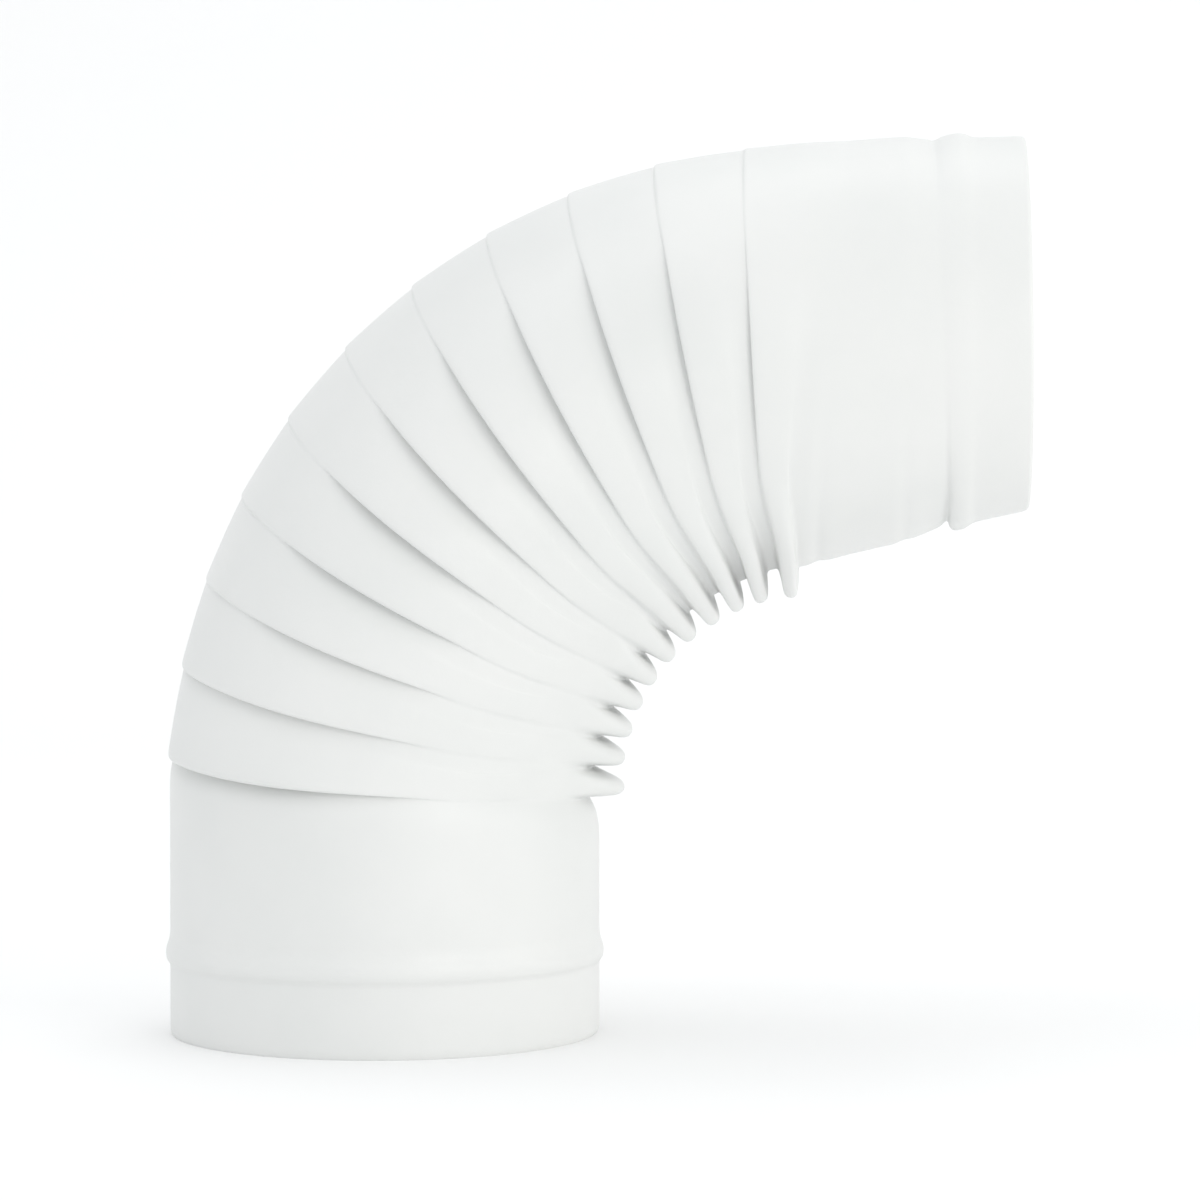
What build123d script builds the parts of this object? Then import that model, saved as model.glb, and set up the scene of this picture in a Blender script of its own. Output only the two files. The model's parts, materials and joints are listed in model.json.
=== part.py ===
"""Pleated 90 degree flue elbow: a round sheet tube pinched into a quarter bend.

Frame: +Z runs up the socket's axis, the origin is the centre of the socket's mouth, and the bend
lies in the XZ plane and leaves along +X. Everything is in millimetres.

The sheet is divided at its crease planes, so that each pleat is a plain thin ring that meets its
neighbours face to face. Station 1 is the crease that ends the socket, station 12 the one that ends
the last pleat, and fractions lie in between.
"""

import os
from math import cos, hypot, pi, radians, sin

from build123d import *

# Sheet and pipe sizes
SHEET = 0.7
SOCKET_BORE_R = 55.0
SPIGOT_R = 48.8
HALF_WIDTH = 55.2

# Bend: the creases' outer ends and their throat ends lie on two arcs, as (x, z) centre and radius
PLEATS = 11
OUTER_CENTRE = (110.4, 62.8)
OUTER_R = 165.6
OUTER_START = 3.4
OUTER_STEP = 8.09
THROAT_CENTRE = (119.6, 56.5)
THROAT_R = 66.5
THROAT_START = 3.7
THROAT_STEP = 7.0

# Fold of one pleat, as heights above the crease at these fractions of the pleat's width
FOLD_AT = (0.0, 0.16, 0.28, 0.6, 0.8, 1.0)
FIN_HEIGHTS = (0.0, 0.6, 6.8, 6.8, 0.6, 0.0)
LIP_HEIGHTS = (0.0, 2.2, 2.0, 1.2, 0.5, 0.0)
INSIDE_AT = (0.0, 0.24, 0.36, 0.52, 0.72, 1.0)
FIN_WALL = 0.08
FIN_SHARPNESS = 4
OUTER_LIP_SHARE = 0.15

# Socket end
SHOULDER_START = 46.0
SOCKET_BEAD_Z = 21.2
SOCKET_BEAD_WIDTH = 7.0
SOCKET_BEAD_RISE = 1.2

# Seal ring
SEAL_WIDTH = 5.6
SEAL_RIB_R = 54.8
SEAL_FLUTE_R = 55.15
SEAL_RIBS = 3
SEAL_CLEARANCE = 0.05

# Neck and spigot: the neck's round end, the groove and the stop bead are circles about (x, z)
NECK_END = (138.5, 179.8)
NECK_END_R = 50.0
GROOVE = (143.2, 180.5)
GROOVE_R = 48.9
SPIGOT_BEAD = (148.8, 181.0)
SPIGOT_BEAD_R = 50.2
SPIGOT_AXIS_Z = 182.0
COLLAR_X = 153.0
LAND_END_X = 163.3
RIM_X = 166.0
RIM_R = 48.1

# Points around a section of the sheet
AROUND = 36


def on_arc(centre, radius, angle):
    """Point (x, z) of the bend at an angle that grows from the socket towards the spigot."""
    return centre[0] - radius * cos(radians(angle)), centre[1] + radius * sin(radians(angle))


def section_frame(station):
    """Centre, direction towards the throat and half height of the tube at a station."""
    outer = on_arc(OUTER_CENTRE, OUTER_R, OUTER_START + OUTER_STEP * (station - 1))
    throat = on_arc(THROAT_CENTRE, THROAT_R, THROAT_START + THROAT_STEP * (station - 1))
    centre = ((outer[0] + throat[0]) / 2, (outer[1] + throat[1]) / 2)
    across = (throat[0] - outer[0], throat[1] - outer[1])
    height = hypot(*across)
    return centre, (across[0] / height, across[1] / height), height / 2


def between(positions, values, at):
    """Value at a position between the listed ones, in straight lines."""
    spans = zip(positions, positions[1:], values, values[1:])
    for start, end, low, high in spans:
        if at <= end:
            return low + (high - low) * (at - start) / (end - start)
    return values[-1]


def fin_share(angle):
    """How much of the throat's fin is left at an angle around the section, 0 being the throat."""
    return ((1 + cos(angle)) / 2) ** FIN_SHARPNESS


def fold_height(fraction, angle):
    """Height of the folded sheet's outer side above its creases."""
    lip_share = sin(angle) ** 2 + OUTER_LIP_SHARE * sin(angle / 2) ** 2
    fin = between(FOLD_AT, FIN_HEIGHTS, fraction) * fin_share(angle)
    return fin + between(FOLD_AT, LIP_HEIGHTS, fraction) * lip_share


def inside_height(fraction, angle):
    """Height of the sheet's inner side: the outer side, moved in by the sheet's thickness."""
    towards_crease = -1 if fraction < 0.5 else 1
    shifted = fraction + towards_crease * FIN_WALL * fin_share(angle)
    return fold_height(min(max(shifted, 0), 1), angle) - SHEET


def ring(centre, towards_throat, half_height, half_width, height):
    """Closed curve around the tube, with height(angle) added all round."""
    points = []
    for step in range(AROUND):
        angle = 2 * pi * step / AROUND
        along = (half_height + height(angle)) * cos(angle)
        side = (half_width + height(angle)) * sin(angle)
        x = centre[0] + along * towards_throat[0]
        z = centre[1] + along * towards_throat[1]
        points.append((x, side, z))
    return Wire([Edge.make_spline(points, periodic=True)])


def pleat_ring(station, fraction, height):
    """Closed curve around the pleat that starts at a station, at a fraction of its width."""
    centre, towards_throat, half_height = section_frame(station + fraction)
    return ring(centre, towards_throat, half_height, HALF_WIDTH, lambda a: height(fraction, a))


def upright_plane(centre):
    """Plane of a circle about (x, z) that faces along the spigot, its x pointing to the throat."""
    return Plane(origin=(centre[0], 0, centre[1]), x_dir=(0, 0, -1), z_dir=(1, 0, 0))


def shell(outer_rings, inner_rings, ruled=True):
    """Thin tube between two skins."""
    return Solid.make_loft(outer_rings, ruled=ruled) - Solid.make_loft(inner_rings, ruled=ruled)


def pleat(station):
    """One pleat: a hollow fin in the throat that runs out into a lip along each side."""
    outer_rings = [pleat_ring(station, at, fold_height) for at in FOLD_AT]
    inner_rings = [pleat_ring(station, at, inside_height) for at in INSIDE_AT]
    return shell(outer_rings, inner_rings)


def transition(station, round_plane, radius):
    """Smooth tube from a station's crease to a circle, whose plane's x points to the throat."""
    skins = []
    for inset in (0, SHEET):
        crease = ring(*section_frame(station), HALF_WIDTH, lambda angle: -inset)
        skins.append([crease, Wire.make_circle(radius - inset, round_plane)])
    return shell(*skins)


def socket_skin(radius):
    """One side of the socket's wall, from its rim up, with its rolled bead."""
    low = SOCKET_BEAD_Z - SOCKET_BEAD_WIDTH / 2
    high = SOCKET_BEAD_Z + SOCKET_BEAD_WIDTH / 2
    apex = (radius + SOCKET_BEAD_RISE, SOCKET_BEAD_Z)
    below = Line((radius, SHEET / 2), (radius, low))
    bead = ThreePointArc((radius, low), apex, (radius, high))
    above = Line((radius, high), (radius, SHOULDER_START))
    return below + bead + above


def socket_end():
    """Round socket with its rolled bead, up to the first crease."""
    bore = SOCKET_BORE_R
    outside = SOCKET_BORE_R + SHEET
    mouth = ThreePointArc((bore, SHEET / 2), (bore + SHEET / 2, 0), (outside, SHEET / 2))
    top_edge = Line((bore, SHOULDER_START), (outside, SHOULDER_START))
    profile = make_face(socket_skin(bore) + socket_skin(outside) + mouth + top_edge)
    wall = revolve(Plane.XZ * profile, Axis.Z)
    top = Plane(origin=(0, 0, SHOULDER_START), x_dir=(1, 0, 0), z_dir=(0, 0, 1))
    return wall + transition(1, top, outside)


def seal_ring():
    """Ribbed silicone ring that fills the hollow of the socket's bead."""
    half = SEAL_WIDTH / 2
    low = SOCKET_BEAD_Z - half
    bead_r = ((SOCKET_BEAD_WIDTH / 2) ** 2 + SOCKET_BEAD_RISE**2) / (2 * SOCKET_BEAD_RISE)
    apex_r = SOCKET_BORE_R + SOCKET_BEAD_RISE - SEAL_CLEARANCE
    edge_r = apex_r - bead_r + (bead_r**2 - half**2) ** 0.5
    back = ThreePointArc((edge_r, low), (apex_r, SOCKET_BEAD_Z), (edge_r, low + SEAL_WIDTH))
    pitch = SEAL_WIDTH / SEAL_RIBS
    face = [(edge_r, low), (SEAL_FLUTE_R, low)]
    for rib in range(SEAL_RIBS):
        foot = low + rib * pitch
        face.append((SEAL_RIB_R, foot + pitch * 0.4))
        face.append((SEAL_RIB_R, foot + pitch * 0.6))
        face.append((SEAL_FLUTE_R, foot + pitch))
    face.append((edge_r, low + SEAL_WIDTH))
    return revolve(Plane.XZ * make_face(Polyline(*face) + back), Axis.Z)


def neck():
    """Smooth tapering tube from the last crease to the spigot."""
    return transition(PLEATS + 1, upright_plane(NECK_END), NECK_END_R)


def waist():
    """Spigot's groove and stop bead, from the neck's round end to the collar."""
    centres = (NECK_END, GROOVE, SPIGOT_BEAD, (COLLAR_X, SPIGOT_AXIS_Z))
    radii = (NECK_END_R, GROOVE_R, SPIGOT_BEAD_R, SPIGOT_R)
    skins = []
    for inset in (0, SHEET):
        circles = zip(centres, radii)
        skins.append([Wire.make_circle(r - inset, upright_plane(at)) for at, r in circles])
    return shell(*skins, ruled=False)


def collar_skin(inset):
    """One side of the collar's wall: a straight land and a drawn-in lead."""
    land_z = SPIGOT_AXIS_Z + SPIGOT_R - inset
    land = Line((COLLAR_X, land_z), (LAND_END_X, land_z))
    lead = Line((LAND_END_X, land_z), (RIM_X - SHEET / 2, SPIGOT_AXIS_Z + RIM_R - inset))
    return land + lead


def spigot():
    """Male end that slides into the next pipe as far as its stop bead."""
    rim_z = SPIGOT_AXIS_Z + RIM_R
    rim_x = RIM_X - SHEET / 2
    mouth = ThreePointArc((rim_x, rim_z - SHEET), (RIM_X, rim_z - SHEET / 2), (rim_x, rim_z))
    start_z = SPIGOT_AXIS_Z + SPIGOT_R
    start = Line((COLLAR_X, start_z - SHEET), (COLLAR_X, start_z))
    profile = make_face(collar_skin(0) + collar_skin(SHEET) + mouth + start)
    return waist() + revolve(Plane.XZ * profile, Axis((0, 0, SPIGOT_AXIS_Z), (1, 0, 0)))


nodes = {"socket_end": socket_end(), "seal_ring": seal_ring(), "neck": neck(), "spigot": spigot()}
for number in range(1, PLEATS + 1):
    nodes[f"pleat_{number:02d}"] = pleat(number)

os.makedirs("parts", exist_ok=True)
for name, solid in nodes.items():
    export_step(solid, f"parts/{name}.step")
    print(name, round(solid.volume), "mm3")
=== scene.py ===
"""Looks of the pleated flue elbow: one thin white-lacquered sheet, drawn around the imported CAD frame.

The sheet's outer side is a smooth surface through rings of control points that run from the socket's
rim to the spigot's rim. Each ring is given by its place along the tube and its height above the
creases, both as functions of the angle around the tube, which is 0 in the throat of the bend and 180
degrees on its outside. The inner side is the outer side moved in by the sheet's thickness.
"""

import json
import math

import bpy
import numpy as np
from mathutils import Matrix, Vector


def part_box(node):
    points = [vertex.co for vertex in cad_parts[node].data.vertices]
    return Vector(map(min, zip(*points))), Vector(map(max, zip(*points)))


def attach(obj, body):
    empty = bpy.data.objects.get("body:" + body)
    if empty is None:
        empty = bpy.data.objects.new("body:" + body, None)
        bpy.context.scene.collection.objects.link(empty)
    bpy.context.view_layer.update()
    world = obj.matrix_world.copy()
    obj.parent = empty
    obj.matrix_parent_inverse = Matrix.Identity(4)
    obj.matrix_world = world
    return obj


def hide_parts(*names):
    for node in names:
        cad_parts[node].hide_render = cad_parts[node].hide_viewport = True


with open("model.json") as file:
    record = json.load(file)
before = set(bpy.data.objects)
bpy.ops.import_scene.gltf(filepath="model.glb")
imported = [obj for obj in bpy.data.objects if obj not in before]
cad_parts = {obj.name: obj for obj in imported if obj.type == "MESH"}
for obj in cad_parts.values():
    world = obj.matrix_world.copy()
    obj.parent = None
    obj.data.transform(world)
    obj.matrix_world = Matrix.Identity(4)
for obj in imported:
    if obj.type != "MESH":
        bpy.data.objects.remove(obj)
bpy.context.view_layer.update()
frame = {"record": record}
record = frame["record"]
mounts = {mount["name"]: mount for mount in record["mounts"]}

# ---------------------------------------------------------------- sizes, in millimetres

MM = 0.001
SHEET = 0.7
SOCKET_R = mounts["socket"]["dims"]["r_mm"] + SHEET
RIM_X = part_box("spigot")[1].x / MM

# The creases' outer ends and throat ends lie on two arcs: (x, z) centre, radius, first angle, step
PLEATS = 11
OUTER_ARC = (110.4, 62.8, 165.7, 3.4, 8.09)
THROAT_ARC = (119.6, 56.5, 66.5, 3.7, 7.0)
HALF_WIDTH = 54.9

# Half of each fold's arc is straightened into a chord between its creases
FLATNESS = 0.5

# Towards the neck the sheet widens by the first amount in the throat and on the outside of the
# bend, and narrows by the second amount on each side
NECK_SWELL = 1.3
SIDE_TAPER = 1.6

# The neck and the spigot are a slightly oblique cone: height of its axis and radius at its two ends
NECK_END_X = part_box("spigot")[0].x / MM
CONE_START = (179.6, 50.4)
CONE_END = (182.9, 47.8)

# The socket's bead: height of its middle above the rim, and how far it stands out
BEAD_Z = 21.2
BEAD_RISE = 1.1

# The seal: ribs on its face, their depth, how far they stand clear of the socket's wall, how much
# its back is rounded, and the gap at its two edges
SEAL_RIBS = 3
SEAL_RIB_DEPTH = 0.3
SEAL_FACE_INSET = 0.12
SEAL_BACK_ROUND = 0.75
SEAL_EDGE_GAP = 0.05

# Mesh points around the tube, mesh rows for each control ring, and the angle of a sharp edge
AROUND = 320
ROWS_PER_RING = 4
SHARP_EDGE = math.radians(50)


def arc_point(arc, station):
    """Point (x, z) of a crease arc at a station, the first crease being station 1."""
    x, z, radius, first, step = arc
    angle = np.radians(first + step * (station - 1))
    return x - radius * np.cos(angle), z + radius * np.sin(angle)


def ease(value):
    """Smooth step from 0 to 1."""
    value = np.clip(value, 0, 1)
    return value * value * (3 - 2 * value)


def chord_point(arc, station):
    """Point of a crease arc, drawn in towards the chord between the creases beside it."""
    low = np.clip(np.floor(station), 1, PLEATS)
    start_x, start_z = arc_point(arc, low)
    end_x, end_z = arc_point(arc, low + 1)
    x, z = arc_point(arc, station)
    share = station - low
    flat_x = start_x + (end_x - start_x) * share
    flat_z = start_z + (end_z - start_z) * share
    return x + (flat_x - x) * FLATNESS, z + (flat_z - z) * FLATNESS


def bend_point(station, angle):
    """Point of the creases' envelope in the pleated stretch, and the outward direction there."""
    outer_x, outer_z = chord_point(OUTER_ARC, station)
    throat_x, throat_z = arc_point(THROAT_ARC, station)
    length = np.hypot(throat_x - outer_x, throat_z - outer_z)
    half_width = HALF_WIDTH - SIDE_TAPER * np.clip((station - 9.8) / 2.2, 0, 1) ** 2
    across_x = (throat_x - outer_x) / length
    across_z = (throat_z - outer_z) / length
    along = length / 2 * np.cos(angle)
    point = np.stack(
        [
            (outer_x + throat_x) / 2 + across_x * along,
            half_width * np.sin(angle),
            (outer_z + throat_z) / 2 + across_z * along,
        ],
        axis=-1,
    )
    outward = np.stack([across_x * np.cos(angle), np.sin(angle), across_z * np.cos(angle)], axis=-1)
    swell = NECK_SWELL * ease(station - PLEATS) * np.cos(angle) ** 2
    return point + outward * swell[..., None], outward


def socket_point(up, angle):
    """Point of the straight socket at a distance below the first crease, up being negative."""
    crease, _ = bend_point(np.ones_like(angle), angle)
    outward = np.stack([np.cos(angle), np.sin(angle), np.zeros_like(angle)], axis=-1)
    tube = SOCKET_R * outward
    draw_in = np.clip(1 + up / 9.0, 0, 1) ** 2
    point = tube + (crease - tube) * draw_in[..., None]
    point[..., 2] = crease[..., 2] + up
    return point, outward


def cone_point(x, angle):
    """Point of the oblique cone that the neck ends in, at a place along the spigot."""
    share = (x - NECK_END_X) / (RIM_X - NECK_END_X)
    axis_z = CONE_START[0] + (CONE_END[0] - CONE_START[0]) * share
    radius = CONE_START[1] + (CONE_END[1] - CONE_START[1]) * share
    point = np.stack([x, radius * np.sin(angle), axis_z - radius * np.cos(angle)], axis=-1)
    outward = np.stack([np.zeros_like(angle), np.sin(angle), -np.cos(angle)], axis=-1)
    return point, outward


def neck_point(share, angle):
    """Point of the neck, from the last crease (share 0) to its end (share 1)."""
    start, start_out = bend_point(np.full_like(angle, PLEATS + 1), angle)
    end, end_out = cone_point(np.full_like(angle, NECK_END_X), angle)
    share = np.asarray(share)[..., None] * np.ones_like(start)
    return start + (end - start) * share, start_out + (end_out - start_out) * share


# ---------------------------------------------------------------- the folded sheet

# One fold is drawn by seven (distance, height) points from one crease to the next. The first five
# distances count from the crease, the sixth from the fold's middle and the seventh back from the
# next crease. In the throat a fold stands up as a fin, blunt by the socket and narrow by the spigot.
# On the sides it is a lip that overhangs the crease, or only a soft step where the lip is weak.
FOLD_FROM = (0.0, 0.0, 0.0, 0.0, 0.0, 0.5, 1.0)
LOW_FIN = [(0.0, -0.3), (0.6, -0.1), (1.1, 3.6), (2.2, 7.3), (5.9, 7.4), (3.0, 3.6), (-0.4, 0.0)]
HIGH_FIN = [(0.0, 0.3), (1.2, 0.3), (1.8, 3.9), (2.4, 7.8), (6.3, 7.8), (2.2, 3.8), (-2.0, 0.2)]
LIP = [(-1.2, -0.9), (0.4, -1.9), (-0.3, 0.9), (0.0, 2.3), (3.0, 2.1), (1.0, 1.1), (-4.2, 0.1)]
STEP = [(-2.2, -0.3), (-1.2, -0.7), (-0.5, 0.9), (0.2, 2.3), (3.0, 2.1), (0.6, 1.1), (-5.2, 0.1)]

# How much of a fin's height is left at angles around the tube
LOW_FIN_FADE = {0: 1.0, 6: 0.88, 12: 0.5, 18: 0.17, 26: 0.02, 50: 0.0, 180: 0.0}
HIGH_FIN_FADE = {0: 1.0, 12: 0.84, 24: 0.64, 35: 0.4, 50: 0.14, 65: 0.04, 80: 0.0, 180: 0.0}

# How strong the lips of some of the creases are at the angles around the tube
LIP_TURNS = (0, 30, 50, 70, 90, 110, 130, 150, 165, 180)
LIP_STRENGTHS = {
    1: (0.0, 0.05, 0.12, 0.2, 0.65, 1.5, 1.45, 1.2, 0.55, 0.15),
    2: (0.0, 0.05, 0.1, 0.12, 0.5, 0.9, 0.72, 0.6, 0.28, 0.12),
    3: (0.0, 0.12, 0.14, 0.16, 0.75, 0.9, 0.3, 0.3, 0.15, 0.12),
    5: (0.0, 0.16, 0.17, 0.3, 1.1, 1.15, 0.15, 0.15, 0.2, 0.12),
    7: (0.0, 0.18, 0.16, 0.54, 1.2, 1.0, 0.23, 0.14, 0.24, 0.14),
    9: (0.0, 0.08, 0.14, 0.45, 1.0, 0.83, 0.21, 0.2, 0.26, 0.14),
    11: (0.0, 0.0, 0.12, 0.36, 0.5, 0.28, 0.15, 0.18, 0.2, 0.12),
}

# Each fin in the throat is bent one by one: its height's factor, and how far it leans to the spigot
FIN_FACTORS = (1.2, 1.03, 0.98, 0.91, 0.88, 0.87, 0.86, 0.89, 0.92, 0.99, 1.04)
FIN_LEANS = (0.1, 0.4, 0.5, 0.6, 0.5, 0.6, 0.6, 0.5, 0.3, -0.4, 0.3)


def smooth_between(keys, values, at):
    """Smooth curve through values at key positions, level at both ends."""
    keys = np.asarray(keys, float)
    values = np.asarray(values, float)
    slopes = np.gradient(values, keys)
    slopes[0] = slopes[-1] = 0
    index = np.clip(np.searchsorted(keys, at, side="right") - 1, 0, len(keys) - 2)
    step = keys[index + 1] - keys[index]
    t = (at - keys[index]) / step
    low, high = values[index], values[index + 1]
    low_slope, high_slope = slopes[index] * step, slopes[index + 1] * step
    return (
        low * (1 + 2 * t) * (1 - t) ** 2
        + low_slope * t * (1 - t) ** 2
        + high * t * t * (3 - 2 * t)
        + high_slope * t * t * (t - 1)
    )


def turn_of(angle):
    """Angle from the throat in degrees, the same on both sides."""
    return np.degrees(np.arccos(np.clip(np.cos(angle), -1, 1)))


def faded(fades, turn):
    """Value of a table of angles around the tube, in degrees, between its entries."""
    return smooth_between(list(fades), list(fades.values()), turn)


def lip_strength(number, turn):
    """Strength of a numbered crease's lip at angles around the tube."""
    numbers = list(LIP_STRENGTHS)
    columns = zip(*LIP_STRENGTHS.values())
    strengths = [np.interp(number, numbers, column) for column in columns]
    return smooth_between(LIP_TURNS, strengths, turn)


def crease_bow(number, angle):
    """How far a crease sags towards the socket on the tube's sides."""
    side = np.sin(angle) ** 2
    share = (number - 1) / PLEATS
    return side * (2.25 - 0.06 * (number - 5.3) ** 2) - side * np.cos(angle) * (2.5 - 3.4 * share)


def fold_point(number, point, turn):
    """Distance and height of a point of a numbered pleat's fold, at angles around the tube."""
    high_share = ease((number - 5.5) / 4)
    low, high = np.array(LOW_FIN[point]), np.array(HIGH_FIN[point])
    fin_distance, fin_height = low + (high - low) * high_share
    low_fade, high_fade = faded(LOW_FIN_FADE, turn), faded(HIGH_FIN_FADE, turn)
    fade = low_fade + (high_fade - low_fade) * high_share
    fin_share = 1 - ease((turn - 25) / 35)
    throat_share = np.cos(np.radians(turn) / 2) ** 8
    strength = lip_strength(number, turn)
    lip_distance, step_distance = LIP[point][0], STEP[point][0]
    side_height = STEP[point][1] + (LIP[point][1] - STEP[point][1]) * ease(2 * strength)
    distance = step_distance + (lip_distance - step_distance) * ease(2 * strength)
    distance = distance + (fin_distance - distance) * fin_share
    if 1 < point < 6:
        distance = distance + FIN_LEANS[number - 1] * throat_share**2
    height = fin_height * fade * (1 + (FIN_FACTORS[number - 1] - 1) * throat_share)
    return distance, height + side_height * strength


def fold_ring(number, point, angle):
    """Control ring: a point of the fold profile in a numbered pleat, all round the tube."""
    distance, height = fold_point(number, point, turn_of(angle))
    here, _ = bend_point(np.full_like(angle, number), angle)
    after, _ = bend_point(np.full_like(angle, number + 1), angle)
    pitch = np.linalg.norm(after - here, axis=-1)
    along = FOLD_FROM[point] * pitch + distance - crease_bow(number + FOLD_FROM[point], angle)
    base, outward = bend_point(number + along / pitch, angle)
    if number == 1:
        below, below_out = socket_point(np.minimum(along, 0), angle)
        before = (along < 0)[..., None]
        base, outward = np.where(before, below, base), np.where(before, below_out, outward)
    return base + outward * height[..., None]


angles = np.arange(AROUND) * 2 * math.pi / AROUND
throat_side = (1 + np.cos(angles)) / 2
control, crease_rings = [], []


def socket_rings():
    """Rounded rim, wall and bead of the socket, up to the first crease."""
    crease, _ = bend_point(np.ones_like(angles), angles)
    rim = [(0.0, -0.45), (0.5, -0.2), (1.6, 0.0), (4.0, 0.0), (8.0, 0.0), (13.0, 0.0)]
    bead = [(-3.9, 0.0), (-2.9, 0.05), (-1.5, BEAD_RISE), (1.0, BEAD_RISE), (2.9, 0.35), (4.9, 0.0)]
    for z, rise in rim + [(BEAD_Z + z, rise) for z, rise in bead]:
        point, outward = socket_point(z - crease[:, 2], angles)
        yield point + outward * rise
    start = BEAD_Z + 7.0 - crease[:, 2]
    first_distance, _ = fold_point(1, 0, turn_of(angles))
    end = first_distance - crease_bow(1, angles) - 1.0
    for share in (0.0, 0.2, 0.4, 0.6, 0.75, 0.87, 0.95):
        point, _ = socket_point(start + (end - start) * share, angles)
        yield point


def neck_rings():
    """Neck after the last crease, with shallow dents in its throat and a slight crown on top."""
    rings = [(0.0, 0.0, 0.0), (0.05, 0.0, 0.0), (0.12, -0.5, 0.0), (0.2, 0.2, 0.1)]
    rings += [(0.35, 0.2, 0.3), (0.5, 0.4, 0.5), (0.65, 0.6, 0.6), (0.78, 0.9, 0.7)]
    rings += [(0.86, 0.3, 0.6), (0.94, 0.7, 0.3)]
    bow = crease_bow(PLEATS + 1, angles)
    for share, throat_height, top_height in rings:
        point, outward = neck_point(np.full_like(angles, share) - (1 - share) * bow / 25, angles)
        height = throat_height * throat_side**6 + top_height * (1 - throat_side) ** 4
        yield point + outward * height[:, None]


def spigot_rings():
    """Groove, stop bead and collar of the spigot, up to its rim."""
    depth = 0.02 + 1.7 * throat_side**10 + 0.45 * (1 - throat_side) ** 8
    fullness = 0.1 + 0.9 * np.cos(angles) ** 4
    length = RIM_X - NECK_END_X
    profile = [(2.0, 0.0, 0.05, 0.6), (3.6, 0.0, 0.4, 1.6), (4.6, 0.0, 1.1, 2.0)]
    profile += [(5.4, 0.1, 0.9, 1.8), (6.4, 0.6, 0.15, 1.2)]
    profile += [(8.8, 1.3, 0.0, 0.3), (11.0, 1.2, 0.0, 0.3), (13.0, 0.2, 0.0, 0.3)]
    profile += [(along, 0.0, 0.0, 0.4) for along in (14.6, 18.0, 22.0)]
    profile += [(length - 2.6, -0.02, 0.0, 0.6), (length - 1.2, -0.12, 0.0, 0.7)]
    profile += [(length - 0.7, -0.55, 0.0, 0.7)]
    for along, rise, groove, tilt in profile:
        place = NECK_END_X + along + tilt * np.cos(angles)
        point, outward = cone_point(place, angles)
        height = rise * (fullness if rise > 0 else 1) - groove * depth
        yield point + outward * height[:, None]


control.extend(socket_rings())
for pleat_number in range(1, PLEATS + 1):
    crease_rings.append(len(control))
    for ring_number in range(len(FOLD_FROM)):
        control.append(fold_ring(pleat_number, ring_number, angles))
crease_rings.append(len(control))
control.extend(neck_rings())
spigot_start = len(control)
control.extend(spigot_rings())
control = np.array(control)


def smooth_rows(rings):
    """Rows of the surface: a quadratic B-spline along the tube, that starts and ends on the rims."""
    padded = np.concatenate([2 * rings[:1] - rings[1:2], rings, 2 * rings[-1:] - rings[-2:-1]])
    rows = []
    for ring in range(1, len(padded) - 1):
        before, here, after = padded[ring - 1 : ring + 2]
        for step in range(ROWS_PER_RING):
            t = step / ROWS_PER_RING
            rows.append(before * (1 - t) ** 2 / 2 + here * (0.5 + t - t * t) + after * t * t / 2)
    return np.array(rows)


# The spline's first half span and its last one lie past the rims and are cut off
rim_rows = ROWS_PER_RING // 2
outer = smooth_rows(control)[rim_rows : 1 - rim_rows]


def row_of(ring):
    """Row of the surface that lies nearest to a control ring."""
    return ring * ROWS_PER_RING


def outward_normals(rows):
    """Normals of the outer side, from its neighbours along and around the tube."""
    along = np.gradient(rows, axis=0)
    around = np.roll(rows, -1, axis=1) - np.roll(rows, 1, axis=1)
    normal = np.cross(around, along)
    return normal / np.linalg.norm(normal, axis=-1, keepdims=True)


normals = outward_normals(outer)
inner = outer - normals * SHEET


def quads(start, rows, flipped):
    """Faces of a tube of rows, whose points are numbered from start."""
    row = np.arange(rows - 1)[:, None] * AROUND
    column = np.arange(AROUND)[None, :]
    after = (column + 1) % AROUND
    a, b = row + column, row + after
    c, d = b + AROUND, a + AROUND
    corners = [a, d, c, b] if flipped else [a, b, c, d]
    return (start + np.stack(corners, axis=-1)).reshape(-1, 4)


def smooth_piece(name, points, faces):
    """Object with a smooth mesh that keeps its sharp edges, fixed to the root body."""
    mesh = bpy.data.meshes.new(name)
    mesh.from_pydata(points.tolist(), [], faces.tolist())
    mesh.validate()
    mesh.update()
    mesh.shade_smooth()
    mesh.set_sharp_from_angle(angle=SHARP_EDGE)
    piece = bpy.data.objects.new(name, mesh)
    bpy.context.scene.collection.objects.link(piece)
    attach(piece, "root")
    return piece


def sheet_piece(name, first, last, node):
    """Closed piece of the sheet between two rows, that stands for a CAD node."""
    rows = last - first + 1
    skins = [outer[first : last + 1], inner[first : last + 1]]
    points = np.concatenate([skin.reshape(-1, 3) for skin in skins]) * MM
    inside = rows * AROUND
    faces = [quads(0, rows, False), quads(inside, rows, True)]
    column = np.arange(AROUND)
    after = (column + 1) % AROUND
    low = np.stack([column, inside + column, inside + after, after], axis=-1)
    top = (rows - 1) * AROUND
    high = np.stack([top + column, top + after, inside + top + after, inside + top + column], axis=-1)
    piece = smooth_piece(name, points, np.concatenate(faces + [low, high]))
    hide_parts(node)
    return piece


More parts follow.
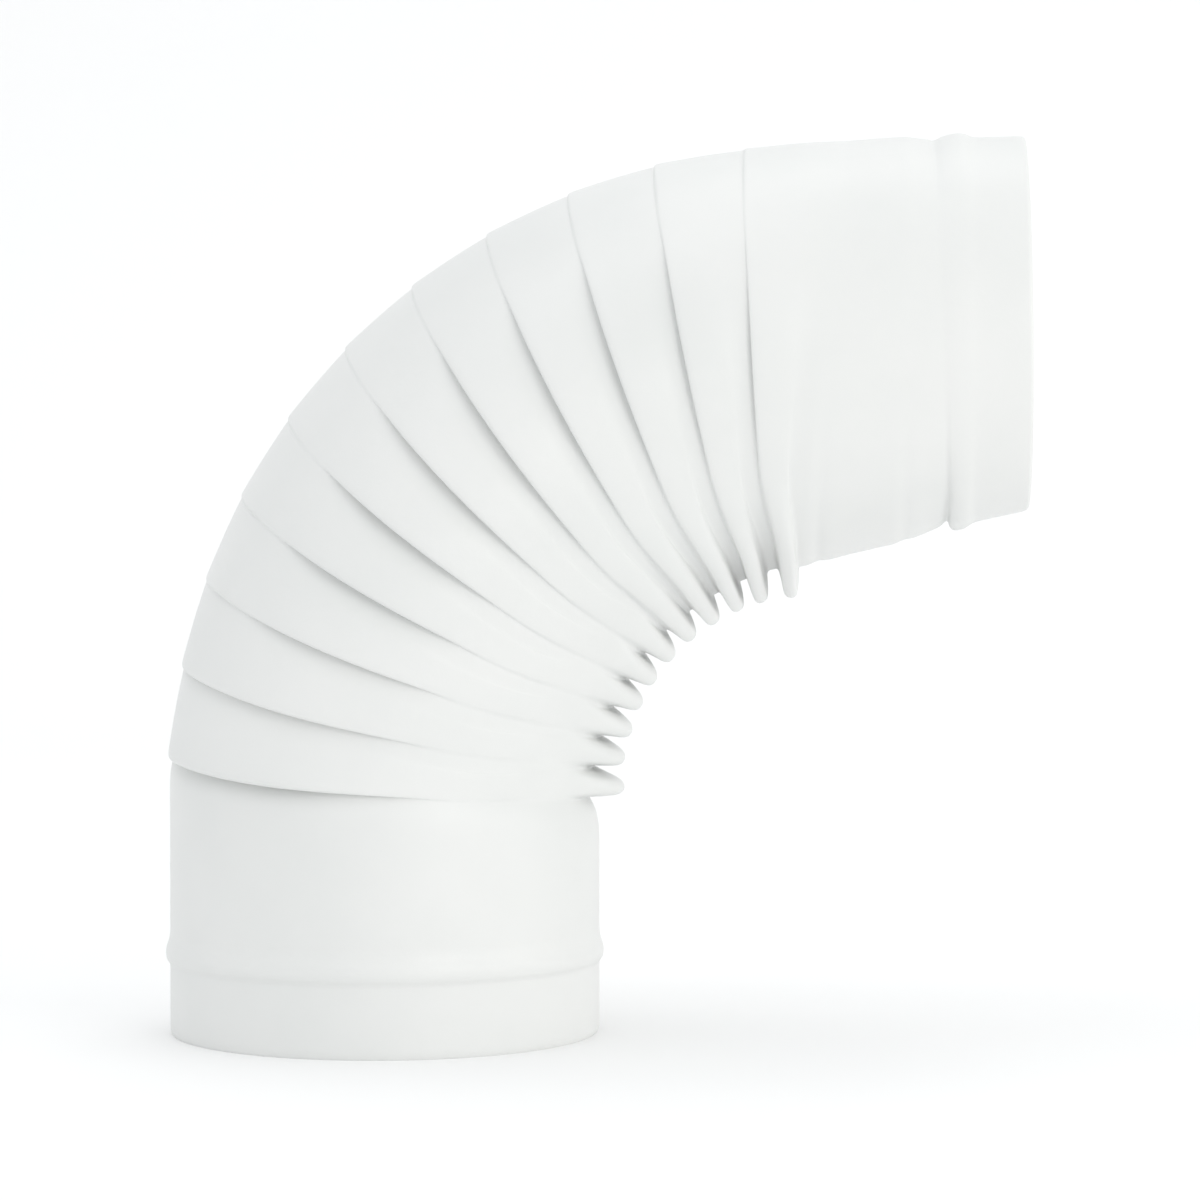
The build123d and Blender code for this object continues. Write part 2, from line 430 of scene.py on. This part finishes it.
pieces = [sheet_piece("socket_sheet", 0, row_of(crease_rings[0]), "socket_end")]
for pleat_number in range(1, PLEATS + 1):
    start, end = crease_rings[pleat_number - 1 : pleat_number + 1]
    name = f"pleat_sheet_{pleat_number:02d}"
    pieces.append(sheet_piece(name, row_of(start), row_of(end), f"pleat_{pleat_number:02d}"))
pieces.append(sheet_piece("neck_sheet", row_of(crease_rings[-1]), row_of(spigot_start), "neck"))
pieces.append(sheet_piece("spigot_sheet", row_of(spigot_start), len(outer) - 1, "spigot"))


# ---------------------------------------------------------------- the seal


def seal_profile():
    """Section (radius, z) of the seal: its rounded back in the bead and three ribs on its face."""
    low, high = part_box("seal_ring")
    back_r = high.x / MM
    edge_r = back_r - SEAL_BACK_ROUND
    bottom, top = low.z / MM + SEAL_EDGE_GAP, high.z / MM - SEAL_EDGE_GAP
    height = top - bottom
    share = np.linspace(0, 1, 21)
    back = edge_r + (back_r - edge_r) * np.sin(np.pi * share) ** 0.8
    ribs = SEAL_RIB_DEPTH * np.sin(np.pi * SEAL_RIBS * share[::-1]) ** 2
    face = SOCKET_R - SHEET + SEAL_FACE_INSET - ribs
    radius = np.concatenate([back, face])
    z = bottom + height * np.concatenate([share, share[::-1]])
    return radius, z


def seal_piece():
    """Ribbed silicone ring in the hollow of the socket's bead."""
    radius, z = seal_profile()
    count = len(radius)
    turn = (np.arange(AROUND) * 2 * math.pi / AROUND)[:, None]
    points = np.stack([radius * np.cos(turn), radius * np.sin(turn), z + 0 * turn], axis=-1)
    first = (np.arange(AROUND) * count)[:, None]
    second = (first + count) % (AROUND * count)
    here = np.arange(count)[None, :]
    after = (here + 1) % count
    faces = np.stack([first + here, second + here, second + after, first + after], axis=-1)
    piece = smooth_piece("seal", points.reshape(-1, 3) * MM, faces.reshape(-1, 4))
    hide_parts("seal_ring")
    return piece


seal = seal_piece()

# ---------------------------------------------------------------- materials


def lacquer():
    """White satin lacquer: faint mottling, orange peel and handling marks."""
    material = bpy.data.materials.new("white_lacquer")
    material.use_nodes = True
    nodes, links = material.node_tree.nodes, material.node_tree.links
    shader = nodes["Principled BSDF"]
    place = nodes.new("ShaderNodeTexCoord")
    mottle = nodes.new("ShaderNodeTexNoise")
    mottle.inputs["Scale"].default_value = 22
    mottle.inputs["Detail"].default_value = 4
    tint = nodes.new("ShaderNodeValToRGB")
    tint.color_ramp.elements[0].position = 0.3
    tint.color_ramp.elements[0].color = (0.74, 0.75, 0.74, 1)
    tint.color_ramp.elements[1].position = 0.7
    tint.color_ramp.elements[1].color = (0.775, 0.78, 0.77, 1)
    peel = nodes.new("ShaderNodeTexNoise")
    peel.inputs["Scale"].default_value = 900
    peel.inputs["Detail"].default_value = 2
    bump = nodes.new("ShaderNodeBump")
    bump.inputs["Strength"].default_value = 0.08
    bump.inputs["Distance"].default_value = 0.0002
    marks = nodes.new("ShaderNodeTexNoise")
    marks.inputs["Scale"].default_value = 60
    marks.inputs["Detail"].default_value = 6
    gloss = nodes.new("ShaderNodeMapRange")
    gloss.inputs["To Min"].default_value = 0.34
    gloss.inputs["To Max"].default_value = 0.5
    for texture in (mottle, peel, marks):
        links.new(place.outputs["Object"], texture.inputs["Vector"])
    links.new(mottle.outputs["Fac"], tint.inputs["Fac"])
    links.new(tint.outputs["Color"], shader.inputs["Base Color"])
    links.new(peel.outputs["Fac"], bump.inputs["Height"])
    links.new(bump.outputs["Normal"], shader.inputs["Normal"])
    links.new(marks.outputs["Fac"], gloss.inputs["Value"])
    links.new(gloss.outputs["Result"], shader.inputs["Roughness"])
    return material


def silicone():
    """Dark matte silicone with a dusty bloom and a fine moulded grain."""
    material = bpy.data.materials.new("seal_silicone")
    material.use_nodes = True
    nodes, links = material.node_tree.nodes, material.node_tree.links
    shader = nodes["Principled BSDF"]
    place = nodes.new("ShaderNodeTexCoord")
    bloom = nodes.new("ShaderNodeTexNoise")
    bloom.inputs["Scale"].default_value = 70
    bloom.inputs["Detail"].default_value = 5
    tint = nodes.new("ShaderNodeValToRGB")
    tint.color_ramp.elements[0].position = 0.35
    tint.color_ramp.elements[0].color = (0.075, 0.075, 0.08, 1)
    tint.color_ramp.elements[1].position = 0.7
    tint.color_ramp.elements[1].color = (0.115, 0.115, 0.12, 1)
    grain = nodes.new("ShaderNodeTexNoise")
    grain.inputs["Scale"].default_value = 1600
    bump = nodes.new("ShaderNodeBump")
    bump.inputs["Strength"].default_value = 0.2
    bump.inputs["Distance"].default_value = 0.0002
    sheen = nodes.new("ShaderNodeMapRange")
    sheen.inputs["To Min"].default_value = 0.55
    sheen.inputs["To Max"].default_value = 0.75
    for texture in (bloom, grain):
        links.new(place.outputs["Object"], texture.inputs["Vector"])
    links.new(bloom.outputs["Fac"], tint.inputs["Fac"])
    links.new(tint.outputs["Color"], shader.inputs["Base Color"])
    links.new(grain.outputs["Fac"], bump.inputs["Height"])
    links.new(bump.outputs["Normal"], shader.inputs["Normal"])
    links.new(bloom.outputs["Fac"], sheen.inputs["Value"])
    links.new(sheen.outputs["Result"], shader.inputs["Roughness"])
    return material


white = lacquer()
for piece in pieces:
    piece.data.materials.append(white)
seal.data.materials.append(silicone())

# ---------------------------------------------------------------- floor, light and camera, in metres

CAMERA_PLACE = (0.1273, -0.939, 0.1323)
CAMERA_TARGET = (0.056, 0, 0.112)
CAMERA_LENS = 109.2
OBJECT_MIDDLE = (0.05, 0, 0.12)
WARM = (1.0, 0.98, 0.93)
NEUTRAL = (1.0, 1.0, 1.0)


def stage_material(name, colour):
    """Matte paint for the floor."""
    material = bpy.data.materials.new(name)
    material.use_nodes = True
    shader = material.node_tree.nodes["Principled BSDF"]
    shader.inputs["Base Color"].default_value = (*colour, 1)
    shader.inputs["Roughness"].default_value = 0.9
    return material


def backdrop():
    """Pale floor that sweeps up behind the object."""
    radius, depth, height, half = 0.5, 1.2, 3.0, 4.0
    line = [(-4.0, 0.0), (depth, 0.0)]
    for step in range(1, 17):
        turn = math.pi / 2 * step / 16
        line.append((depth + radius * math.sin(turn), radius * (1 - math.cos(turn))))
    line.append((depth + radius, height))
    points = [(side * half, y, z) for y, z in line for side in (-1, 1)]
    faces = [(2 * i, 2 * i + 1, 2 * i + 3, 2 * i + 2) for i in range(len(line) - 1)]
    mesh = bpy.data.meshes.new("floor")
    mesh.from_pydata(points, [], faces)
    mesh.shade_smooth()
    floor = bpy.data.objects.new("floor", mesh)
    floor.data.materials.append(stage_material("pale_floor", (0.93, 0.93, 0.93)))
    bpy.context.scene.collection.objects.link(floor)


def facing(place, target):
    """Rotation that turns a light or a camera at a place towards a target."""
    return (Vector(target) - Vector(place)).to_track_quat("-Z", "Y").to_euler()


def area_light(name, place, target, size, power, colour):
    """Square soft light at a place that faces a target."""
    data = bpy.data.lights.new(name, "AREA")
    data.size = size
    data.energy = power
    data.color = colour
    light = bpy.data.objects.new(name, data)
    light.location = place
    light.rotation_euler = facing(place, target)
    bpy.context.scene.collection.objects.link(light)


def camera():
    """Long lens, level with the elbow's middle, that looks across the bend."""
    data = bpy.data.cameras.new("camera")
    data.sensor_width = 36
    data.lens = CAMERA_LENS
    view = bpy.data.objects.new("camera", data)
    view.location = CAMERA_PLACE
    view.rotation_euler = facing(CAMERA_PLACE, CAMERA_TARGET)
    bpy.context.scene.collection.objects.link(view)
    bpy.context.scene.camera = view


backdrop()
area_light("front_right", (1.01, -1.14, 0.45), OBJECT_MIDDLE, 0.8, 3.7, WARM)
area_light("right", (1.52, -0.26, 0.45), OBJECT_MIDDLE, 0.8, 2.5, WARM)
area_light("top_left", (-0.36, -0.37, 1.48), OBJECT_MIDDLE, 0.8, 2.0, NEUTRAL)
area_light("backdrop_light", (0.05, 0.8, 2.4), (0.05, 1.7, 0.3), 1.5, 8, NEUTRAL)
world = bpy.data.worlds.new("studio")
world.use_nodes = True
world.node_tree.nodes["Background"].inputs["Color"].default_value = (0.975, 0.99, 1, 1)
world.node_tree.nodes["Background"].inputs["Strength"].default_value = 0.9
bpy.context.scene.world = world
bpy.context.scene.view_settings.view_transform = "Standard"
camera()
